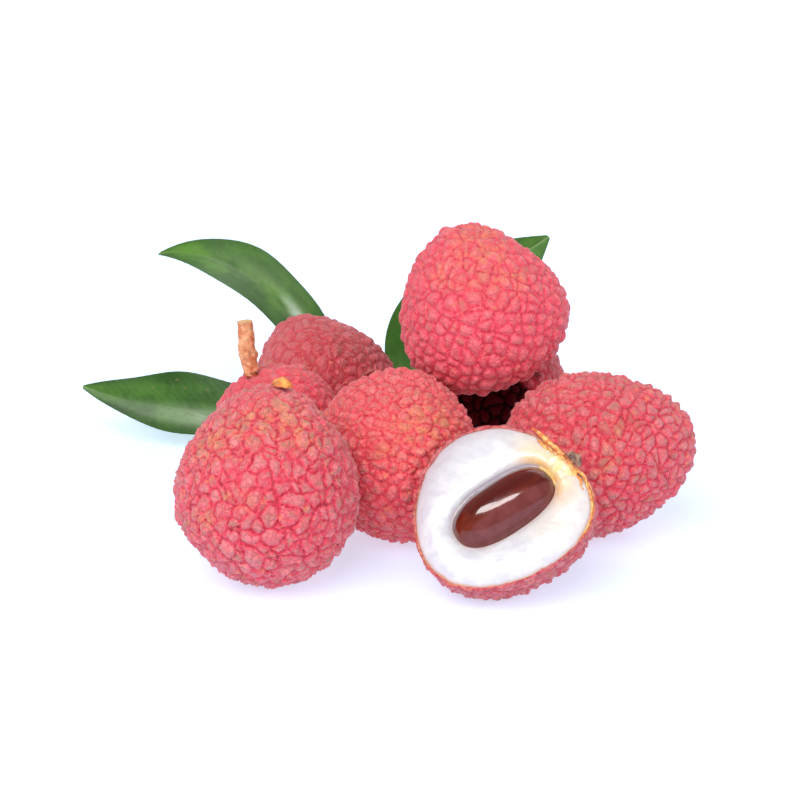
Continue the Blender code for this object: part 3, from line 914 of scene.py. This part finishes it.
class Paint:
    """A material under way.  Values are numbers or sockets, colours triples or sockets.

    What reads a texture or a stored number can end with low, high and, if they aren't
    0 and 1, start and end: the value is then spread as between() does.
    """

    def __init__(self, name):
        self.material = bpy.data.materials.new(name)
        self.material.use_nodes = True
        self.tree = self.material.node_tree
        self.shade = None

    def put(self, socket, value):
        if isinstance(value, bpy.types.NodeSocket):
            self.tree.links.new(value, socket)
        else:
            socket.default_value = value

    def add(self, kind, output, inputs, **settings):
        """The output of a new shader node."""
        made = self.tree.nodes.new("ShaderNode" + kind)
        for key, value in settings.items():
            setattr(made, key, value)
        for key, value in inputs.items():
            self.put(made.inputs[key], value)
        return made.outputs[output]

    def done(self, **inputs):
        """Sets the shader's sockets; a name's underscores stand for spaces."""
        shader = self.tree.nodes["Principled BSDF"]
        for key, value in dict(inputs, Base_Color=self.shade).items():
            self.put(shader.inputs[key.replace("_", " ")], value)
        return self.material

    def mix(self, share, low, high):
        return self.add("Mix", 2, {0: share, 6: linear(low), 7: linear(high)},
                        data_type="RGBA", clamp_factor=True)

    def over(self, tone, *shares):
        """Lays a colour over the shade so far, by the product of some shares."""
        self.shade = self.mix(self.times(*shares), self.shade, tone)

    def maths(self, operation, a, b=0.0):
        return self.add("Math", 0, {0: a, 1: b}, operation=operation)

    def plus(self, a, b):
        return self.maths("ADD", a, b)

    def times(self, first, *others):
        for other in others:
            first = self.maths("MULTIPLY", first, other)
        return first

    def between(self, value, low=None, high=None, start=0.0, end=1.0):
        """A value spread smoothly from low..high to start..end."""
        if low is None:
            return value
        return self.add("MapRange", "Result", {"Value": value, "From Min": low, "From Max": high,
                                               "To Min": start, "To Max": end},
                        interpolation_type="SMOOTHSTEP")

    def number(self, name, *spread):
        found = self.add("Attribute", "Fac", {}, attribute_name=name)
        return self.between(found, *spread)

    def places(self, stretch=(1, 1, 1)):
        """Object coordinates, one unit to a metre unless stretched."""
        spot = self.add("TexCoord", "Object", {})
        return self.add("Mapping", 0, {"Vector": spot, "Scale": stretch})

    def cloud(self, size_mm, detail, *spread, roughness=0.5, stretch=(1, 1, 1)):
        """Noise with swells of about that size."""
        found = self.add("TexNoise", "Fac", {"Vector": self.places(stretch), "Detail": detail,
                                             "Scale": 1 / (size_mm * MM), "Roughness": roughness})
        return self.between(found, *spread)

    def pebbles(self, size_mm, *spread, feature="F1", where=None):
        """Distance to the middles, or another feature, of a pattern of cells."""
        found = self.add("TexVoronoi", "Distance", {"Vector": where or self.places(),
                                                    "Scale": 1 / (size_mm * MM)}, feature=feature)
        return self.between(found, *spread)

    def strayed(self, size_mm, stray_mm):
        """Object coordinates moved about by noise."""
        spot = self.places()
        stray = self.add("TexNoise", "Color", {"Vector": spot, "Scale": 1 / (size_mm * MM)})
        middle = self.add("VectorMath", 0, {0: stray, 1: (0.5, 0.5, 0.5)}, operation="SUBTRACT")
        scaled = self.add("VectorMath", 0, {0: middle, "Scale": 2 * stray_mm * MM},
                          operation="SCALE")
        return self.add("VectorMath", 0, {0: spot, 1: scaled}, operation="ADD")

    def bump(self, height, depth_mm, strength=1.0):
        return self.add("Bump", "Normal", {"Height": height, "Distance": depth_mm * MM,
                                           "Strength": strength})


# ---- rind

# Rind colours: the crack between knobs, its walls, the knobs' sides and tops.
RIND_TONES = {"bright": ((146, 8, 34), (220, 32, 62), (236, 72, 92), (238, 110, 118)),
              "warm": ((150, 8, 30), (222, 34, 56), (240, 80, 92), (244, 116, 116)),
              "deep": ((140, 8, 34), (212, 28, 58), (230, 68, 86), (232, 100, 108)),
              "dull": ((130, 12, 34), (194, 32, 52), (208, 62, 74), (210, 92, 98))}


def rind_material(name, tone, dust, tan, calm=0.0, gap_shaded=False, lined=False):
    """Rind: crimson cracks, pink lobed knobs, tan tips, yellow blushes, a dusty sheen."""
    p = Paint(name)
    p.shade, wall_red, side_red, top_pink = RIND_TONES[tone]
    crease = p.pebbles(1.25, 0.02, 0.17, 1.0, 0.0, feature="DISTANCE_TO_EDGE",
                       where=p.strayed(0.8, 0.35))
    edge = p.plus(p.number("crack"), p.cloud(0.8, 3.0, 0.3, 0.7, -0.16, 0.16))
    p.over(wall_red, p.between(edge, -0.14, 0.10))
    p.over(side_red, p.between(edge, 0.00, 0.24))
    p.over(top_pink, p.between(edge, 0.10, 0.80))
    p.over(wall_red, crease, 0.55 - 0.4 * calm)
    p.over(side_red, p.cloud(3.5, 3.0, 0.35, 0.65), 0.4)
    weathered(p, edge, dust, tan)
    ripened(p, edge)
    if calm:
        p.over(side_red, calm)
    sheen, gloss = 0.30, 0.28
    # Painted shade on the side that faces the gap: dark maroon, with less sheen and gloss.
    if gap_shaded:
        paint_gap_shade(p, edge)
        unshaded = p.number("gap_shade_share", 0.15, 0.60, 1.0, 0.10)
        sheen, gloss = p.times(unshaded, sheen), p.times(unshaded, gloss)
    if lined:
        orange_lining(p)
    grain = p.plus(p.times(p.cloud(0.30, 2.0), 0.8), p.times(crease, -1.0))
    return p.done(Roughness=p.cloud(1.2, 2.0, 0.3, 0.7, 0.46, 0.64), Sheen_Weight=sheen,
                  Normal=p.bump(grain, 0.26 - 0.16 * calm, 0.75), Sheen_Roughness=0.5,
                  Sheen_Tint=(1.0, 0.88, 0.90, 1.0), Specular_IOR_Level=gloss)


def weathered(p, edge, dust, tan):
    """Dusty grey-pink veils, dull tan tips and a few dark flecks over the knobs."""
    raised = p.between(edge, 0.10, 0.60)
    p.over((200, 130, 132), p.cloud(5.0, 4.0, 0.40, 0.62), raised, dust)
    p.over((244, 146, 148), p.number("knob", 0.45, 1.0), raised, 0.30)
    p.over((206, 118, 112), p.cloud(1.3, 4.0, 0.50, 0.66, roughness=0.65), raised, 0.9 * tan)
    p.over((168, 116, 88), p.number("tip"), p.number("kind", 1 - tan, 1.0),
           p.cloud(0.9, 3.0, 0.36, 0.56), 0.85)
    p.over((186, 128, 108), p.cloud(0.7, 3.0, 0.52, 0.62, roughness=0.7),
           p.cloud(4.0, 2.0, 0.42, 0.60), raised, 0.7 * tan)
    p.over((98, 52, 46), p.cloud(0.62, 1.0, 0.735, 0.77), 0.6)


def ripened(p, edge):
    """Yellow and olive blushes that run across several knobs, and freckles of them."""
    blush = p.times(p.number("blush"), p.cloud(2.4, 4.0, 0.38, 0.60, roughness=0.6))
    ripe = p.maths("MAXIMUM", blush, p.cloud(1.6, 2.0, 0.62, 0.69, 0.0, 0.55))
    golden = p.mix(p.cloud(2.0, 3.0, 0.4, 0.6), (244, 156, 92), (196, 140, 84))
    p.over(golden, ripe, p.between(edge, -0.10, 0.30), 0.75)


def paint_gap_shade(p, edge):
    """Painted shade on one side of a fruit: dark maroon that fades into the rest of the rind."""
    ragged = p.plus(p.number("gap_shade_share"), p.cloud(3.0, 3.0, 0.3, 0.7, -0.15, 0.15))
    dark = p.mix(p.between(edge, 0.05, 0.50), (24, 1, 3), (74, 8, 16))
    p.over(dark, p.between(ragged, 0.30, 0.62))


def orange_lining(p):
    """The cut edge of a rind: dusky red, with orange stretches round the stalk."""
    pulp = p.mix(p.cloud(0.6, 2.0, 0.45, 0.7), (224, 128, 74), (246, 192, 130))
    skin = p.mix(p.cloud(1.2, 3.0, 0.38, 0.62), (186, 62, 70), (222, 122, 120))
    patchy = p.times(p.number("warm"), p.cloud(3.0, 2.0, 0.30, 0.52, 0.35, 1.0))
    p.over(p.mix(patchy, skin, pulp), p.number("lining", 0.45, 0.95))


# ---- flesh, seed and pith

def flesh_material():
    """Wet white flesh: painted lavender shade to one side, cream by the pith, painted grey shade
    in the pocket.
    """
    p = Paint("flesh")
    p.shade = p.mix(p.cloud(3.2, 3.0, 0.35, 0.65), (214, 210, 217), (226, 225, 226))
    p.over((204, 198, 208), p.cloud(1.1, 4.0, 0.5, 0.72, 0.0, 0.5, roughness=0.6,
                                    stretch=(0.35, 0.8, 1.0)))
    # Painted shade: lavender where the cut face curves down at its left edge.
    p.over((208, 200, 208), p.number("left", 0.0, 1.0, 0.0, 0.7))
    p.over(p.mix(p.cloud(2.8, 2.0, 0.4, 0.6), (232, 204, 200), (244, 208, 160)),
           p.number("rim", 0.25, 0.9, 0.0, 0.8))
    p.over((228, 216, 202), p.number("right", 0.0, 1.0, 0.0, 0.7))
    p.over((248, 228, 176), p.number("pith"), p.cloud(1.6, 2.0, 0.2, 0.6, 0.6, 1.0), 0.85)
    p.over((246, 174, 78), p.number("glow"), p.cloud(1.3, 3.0, 0.3, 0.6, 0.65, 1.0))
    # Painted shade: grey on the pocket's sunken side, darkening deeper into the pocket.
    shadow = p.number("shade")
    p.over(p.mix(p.number("depth", 0.15, 1.0), (186, 172, 186), (92, 58, 70)), shadow)
    p.over((206, 140, 122), p.maths("SUBTRACT", p.number("pocket"), shadow), 0.6)
    wet = p.bump(p.plus(p.cloud(1.6, 3.0), p.cloud(0.5, 2.0)), 0.10, 0.4)
    return p.done(Normal=wet, Roughness=p.cloud(2.0, 2.0, 0.3, 0.7, 0.28, 0.42),
                  Subsurface_Weight=0.3, Subsurface_Radius=(1.0, 0.8, 0.75),
                  Subsurface_Scale=0.0014, Coat_Weight=0.2, Coat_Roughness=0.15)


def seed_material():
    """Polished seed: dark red-brown with brown lengthwise bands, a painted dark reflection along
    one side, a painted mauve reflection along the other, and a dull scar.
    """
    p = Paint("seed")
    # Painted dark reflection of the surroundings, for the side where the upper mask is low.
    dark_reflection = p.mix(p.cloud(3.0, 2.0), (58, 2, 2), (96, 12, 6))
    p.shade = p.mix(p.number("band", -0.6, 0.6), (82, 18, 10), (112, 40, 20))
    p.over((84, 18, 10), p.cloud(2.2, 3.0, 0.45, 0.7, 0.0, 0.5))
    p.shade = p.mix(p.number("upper"), dark_reflection, p.shade)
    # Painted mauve reflection of the pale flesh and floor along the lower side.
    p.over(p.mix(p.cloud(2.6, 3.0, 0.35, 0.65), (106, 46, 42), (118, 56, 54)),
           p.number("lower"))
    p.over(p.mix(p.cloud(0.8, 2.0), (60, 34, 30), (120, 86, 74)), p.number("scar"))
    return p.done(Roughness=p.cloud(1.5, 3.0, 0.3, 0.8, 0.14, 0.24), Coat_Weight=0.8,
                  Normal=p.bump(p.cloud(1.4, 3.0), 0.05, 0.25), Coat_IOR=1.36,
                  Coat_Roughness=0.05, Specular_IOR_Level=0.15)


def pith_material():
    """Torn fibres, cream in the middle, orange where they grew into the rind."""
    p = Paint("pith")
    p.shade = p.mix(p.cloud(2.4, 3.0, 0.35, 0.65), (246, 220, 150), (250, 240, 204))
    p.over(p.mix(p.cloud(1.2, 3.0, 0.35, 0.65), (246, 178, 82), (250, 212, 130)),
           p.number("side"), 0.85)
    outer = p.number("outer")
    p.over(p.mix(p.cloud(0.9, 3.0, 0.35, 0.65), (222, 116, 58), (248, 184, 100)), outer)
    p.over((126, 60, 44), p.cloud(0.5, 1.0, 0.68, 0.74), outer)
    return p.done(Roughness=p.cloud(0.8, 2.0, 0.3, 0.7, 0.35, 0.6), Subsurface_Weight=0.25,
                  Normal=p.bump(p.cloud(0.4, 3.0), 0.12, 0.6), Subsurface_Scale=0.001,
                  Subsurface_Radius=(1.0, 0.6, 0.3))


# ---- wood and leaves

def bark_material(name, light, dark, end, green=0.0):
    """Rough bark with pale breathing pores, paler where it was cut or torn."""
    p = Paint(name)
    p.shade = p.mix(p.cloud(1.3, 4.0, 0.35, 0.65), dark, light)
    p.shade = p.mix(p.pebbles(1.1, 0.16, 0.26), (196, 164, 130), p.shade)
    p.over((66, 40, 32), p.cloud(0.45, 2.0, 0.62, 0.7, 0.0, 0.7))
    p.over((132, 138, 70), p.cloud(2.6, 2.0, 0.4, 0.6, 0.0, green))
    core = p.mix(p.cloud(0.35, 2.0, 0.4, 0.6, 0.0, 0.4), end, (0, 0, 0))
    p.over(core, p.number("cut_end"))
    height = p.plus(p.cloud(0.5, 4.0), p.times(p.pebbles(1.1), -0.5))
    return p.done(Normal=p.bump(height, 0.16, 0.7), Specular_IOR_Level=0.25,
                  Roughness=p.cloud(0.9, 2.0, 0.3, 0.7, 0.6, 0.85))


def scar_material():
    """The grey-brown scar where the half's stalk broke off."""
    p = Paint("stalk_scar")
    p.shade = p.mix(p.cloud(0.8, 3.0, 0.35, 0.65), (104, 68, 60), (190, 148, 120))
    p.shade = p.mix(p.pebbles(1.5, 0.10, 0.24), (60, 34, 38), p.shade)
    p.over((70, 46, 42), p.number("cut_end"))
    return p.done(Normal=p.bump(p.cloud(0.4, 4.0), 0.2, 0.8),
                  Roughness=p.cloud(0.9, 2.0, 0.3, 0.7, 0.6, 0.85))


def leaf_material(name, dark, fresh, veins, highlight_line):
    """A waxy leaf: darker margins, a painted pale sheen and highlight, faint veins, matt and
    paler below.

    The last argument gives where across the blade, from -1 to 1, its palest painted
    highlight lies, or well past 1 for none.
    """
    p = Paint(name)
    across = p.number("across")
    off_highlight = p.maths("ABSOLUTE", p.maths("SUBTRACT", across, highlight_line))
    vein = p.number("vein")
    p.shade = p.mix(p.cloud(9.0, 3.0, 0.35, 0.65), dark, fresh)
    # Painted sheen: the vein colour in a broad band along the highlight line, stronger towards
    # the stalk.
    p.over(veins, p.between(off_highlight, 0.05, 0.60, 0.6, 0.0),
           p.number("along", 0.35, 0.95, 1.0, 0.25), p.cloud(8.0, 2.0, 0.26, 0.50))
    # Painted highlight: the palest band along that line, on the stalk half of the blade.
    p.over((206, 224, 208), p.between(off_highlight, 0.02, 0.34, 1.0, 0.0),
           p.number("along", 0.30, 0.52, 1.0, 0.0), p.cloud(4.0, 2.0, 0.30, 0.60), 0.85)
    p.over(dark, p.between(p.maths("ABSOLUTE", across), 0.5, 1.0, 0.0, 0.75))
    p.over(p.mix(0.3, dark, (0, 0, 0)), p.cloud(1.2, 3.0, 0.5, 0.75, 0.0, 0.25))
    p.over(veins, vein, 0.06)
    p.over(p.mix(0.4, veins, (196, 200, 120)), p.number("rib", 0.45, 0.95, 0.0, 0.35))
    p.over((140, 110, 84), p.cloud(1.6, 2.0, 0.68, 0.76, 0.0, 0.5))
    under = p.mix(p.cloud(4.0, 2.0, 0.35, 0.65), (120, 150, 96), (146, 170, 120))
    under = p.mix(p.times(vein, 0.35), under, (176, 190, 140))
    below = p.number("under")
    p.over(under, below)
    skin = p.plus(p.times(vein, -0.6), p.times(p.pebbles(0.7), 0.35))
    return p.done(Normal=p.bump(skin, 0.05, 0.4), Coat_Weight=0.08, Coat_Roughness=0.3,
                  Roughness=p.between(below, 0.0, 1.0, 0.42, 0.6), Specular_IOR_Level=0.34)


# ---- stage

# The camera: how far it is, how high it looks from and what it looks at, in metres.
CAMERA_DISTANCE = 0.374
CAMERA_ELEVATION = math.radians(18.7)
CAMERA_AIM = (0.00722, -0.03374, 0.0320)
CAMERA_LENS = 85
FLOOR_SIZE = 4.0               # metres from its middle to its sides
FLOOR_TONES = ((197.26, 210.80, 241.05), (200.37, 213.65, 241.05))
# Soft lamps: name, place, size, power, and whether they show in glossy skins and light.
LAMPS = (("key", (-0.8, -1.4, 1.7), (2.2, 1.8), 49.0, False, True),
         ("fill", (1.3, -1.4, 1.0), (1.4, 1.2), 12.5, False, True),
         ("strip", (-0.27, -0.60, 0.95), (1.10, 0.26), 20.0, True, False),
         ("back", (0.9, 1.5, 1.3), (1.8, 0.9), 7.0, True, True),
         ("backdrop", (0.0, 1.6, 0.9), (2.6, 1.0), 4.0, False, True))


def placed(name, data):
    """A new object in the scene."""
    made = bpy.data.objects.new(name, data)
    bpy.context.scene.collection.objects.link(made)
    return made


def lamp(name, place, size, power, mirrored, lighting):
    """A soft lamp aimed at the heap."""
    data = bpy.data.lights.new(name, "AREA")
    data.shape = "RECTANGLE"
    data.size, data.size_y = size
    data.energy = power
    holder = placed(name, data)
    holder.location = place
    holder.rotation_euler = Vector(place).to_track_quat("Z", "Y").to_euler()
    holder.visible_glossy = mirrored
    holder.visible_diffuse = lighting


def floor_and_light():
    """A pale, faintly glowing floor, white surroundings and soft lamps."""
    p = Paint("floor")
    p.shade = p.mix(p.cloud(400, 2.0), *FLOOR_TONES)
    p.done(Roughness=0.8, Specular_IOR_Level=0.05, Emission_Color=(0.74, 0.85, 1.0, 1.0),
           Emission_Strength=0.64)
    mesh = bpy.data.meshes.new("floor")
    corners = [(-1, -1, 0), (1, -1, 0), (1, 1, 0), (-1, 1, 0)]
    mesh.from_pydata([Vector(corner) * FLOOR_SIZE for corner in corners], [], [(0, 1, 2, 3)])
    mesh.materials.append(p.material)
    placed("floor", mesh)
    world = bpy.data.worlds.new("studio")
    bpy.context.scene.world = world
    world.use_nodes = True
    back = world.node_tree.nodes["Background"]
    back.inputs["Color"].default_value = (0.96, 0.97, 1.0, 1.0)
    back.inputs["Strength"].default_value = 0.36
    for settings in LAMPS:
        lamp(*settings)


def camera():
    data = bpy.data.cameras.new("camera")
    data.lens = CAMERA_LENS
    holder = placed("camera", data)
    back = Vector((0, -math.cos(CAMERA_ELEVATION), math.sin(CAMERA_ELEVATION)))
    holder.location = Vector(CAMERA_AIM) + back * CAMERA_DISTANCE
    holder.rotation_euler = (-back).to_track_quat("-Z", "Y").to_euler()
    bpy.context.scene.camera = holder
    bpy.context.scene.view_settings.view_transform = "Standard"


# ---- the scene

# The tone of each fruit's rind, how dusty, tan and even it is, and whether one side has painted
# shade.
TONES = {"front_left": ("bright", 0.35, 0.75, 0.0), "middle": ("warm", 0.25, 0.55, 0.20),
         "right": ("deep", 0.55, 0.70, 0.10), "top": ("bright", 0.20, 0.35, 0.30),
         "rear_left": ("dull", 0.45, 0.35, 0.35), "rear_low": ("deep", 0.20, 0.30, 0.40),
         "rear_centre": ("dull", 0.3, 0.3, 0.2, True)}
# Barks: light and dark patches, and the cut or torn end.
TAN = ((240, 176, 128), (206, 122, 80), (240, 190, 140))
BROWN = ((150, 108, 78), (92, 60, 44), (190, 156, 112))
GOLD = ((250, 184, 92), (224, 132, 70), (240, 196, 110))
DUSKY = ((196, 104, 96), (150, 62, 66), (120, 70, 60))
OLIVE = ((150, 140, 80), (104, 96, 56), (150, 150, 90))
STALKS = {"front_left": GOLD, "middle": DUSKY, "right": DUSKY, "top": TAN,
          "rear_left": TAN, "rear_low": TAN, "rear_centre": TAN}
# Greens of each leaflet (margins, blade, and veins, whose colour also tints the painted sheen)
# and where its painted highlight lies.
GREENS = {"upper_left": ((50, 96, 16), (80, 132, 30), (126, 164, 88), -0.10),
          "lower_left": ((38, 82, 12), (72, 122, 34), (172, 198, 158), 0.34),
          "right": ((50, 100, 30), (80, 130, 50), (140, 172, 120), 1.80)}


def fruits():
    for turn, name in enumerate(RINDS):
        whole_fruit(name, rind_material("rind_" + name, *TONES[name]), 31 + 17 * turn)


def cut_half():
    half = Half()
    seed = Seed(half)
    inner = half_rind(half, rind_material("rind_half", "dull", 0.2, 0.5, lined=True))
    half_flesh(half, seed, inner, flesh_material())
    half_seed(half, seed, seed_material())
    half_pith(half, pith_material())
    twig("half_stalk", scar_material(), "stalk", half.axes[:, 1], 24, 0.22, 0.06, 9,
         domed=0.8, root=0.9)


def stalks():
    for turn, (name, tones) in enumerate(STALKS.items()):
        node = "stalk_" + name
        bark = bark_material("bark_" + name, *tones)
        if name == "rear_low":
            twig(node, bark, "stalk", None, 70, 0.12, 0.04, 59)
        else:
            away = node_middle(node) - node_middle("lychee_" + name)
            twig(node, bark, "stalk", away, 22, 0.14, 0.04, 50 + 9 * turn, domed=0.7)


def sprig():
    for turn, (name, greens) in enumerate(GREENS.items()):
        leaf(name, leaf_material("leaf_" + name, *greens), 3 + turn)
        bark = bark_material("leaf_stalk_" + name, *OLIVE, 0.8)
        twig("leaf_stalk_" + name, bark, "leaf_stalk", None, 26, 0.10, 0.06, 90 + turn)
    twig("rachis", bark_material("rachis", *BROWN, 0.2), "rachis", None, 150, 0.10, 0.06, 120)


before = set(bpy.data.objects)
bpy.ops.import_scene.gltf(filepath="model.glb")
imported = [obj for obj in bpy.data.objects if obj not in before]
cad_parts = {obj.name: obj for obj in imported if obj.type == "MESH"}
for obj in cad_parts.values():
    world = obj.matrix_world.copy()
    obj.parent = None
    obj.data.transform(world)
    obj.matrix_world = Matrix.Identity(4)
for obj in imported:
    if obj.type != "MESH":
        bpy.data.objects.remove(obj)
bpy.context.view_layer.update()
fruits()
cut_half()
stalks()
sprig()
floor_and_light()
camera()
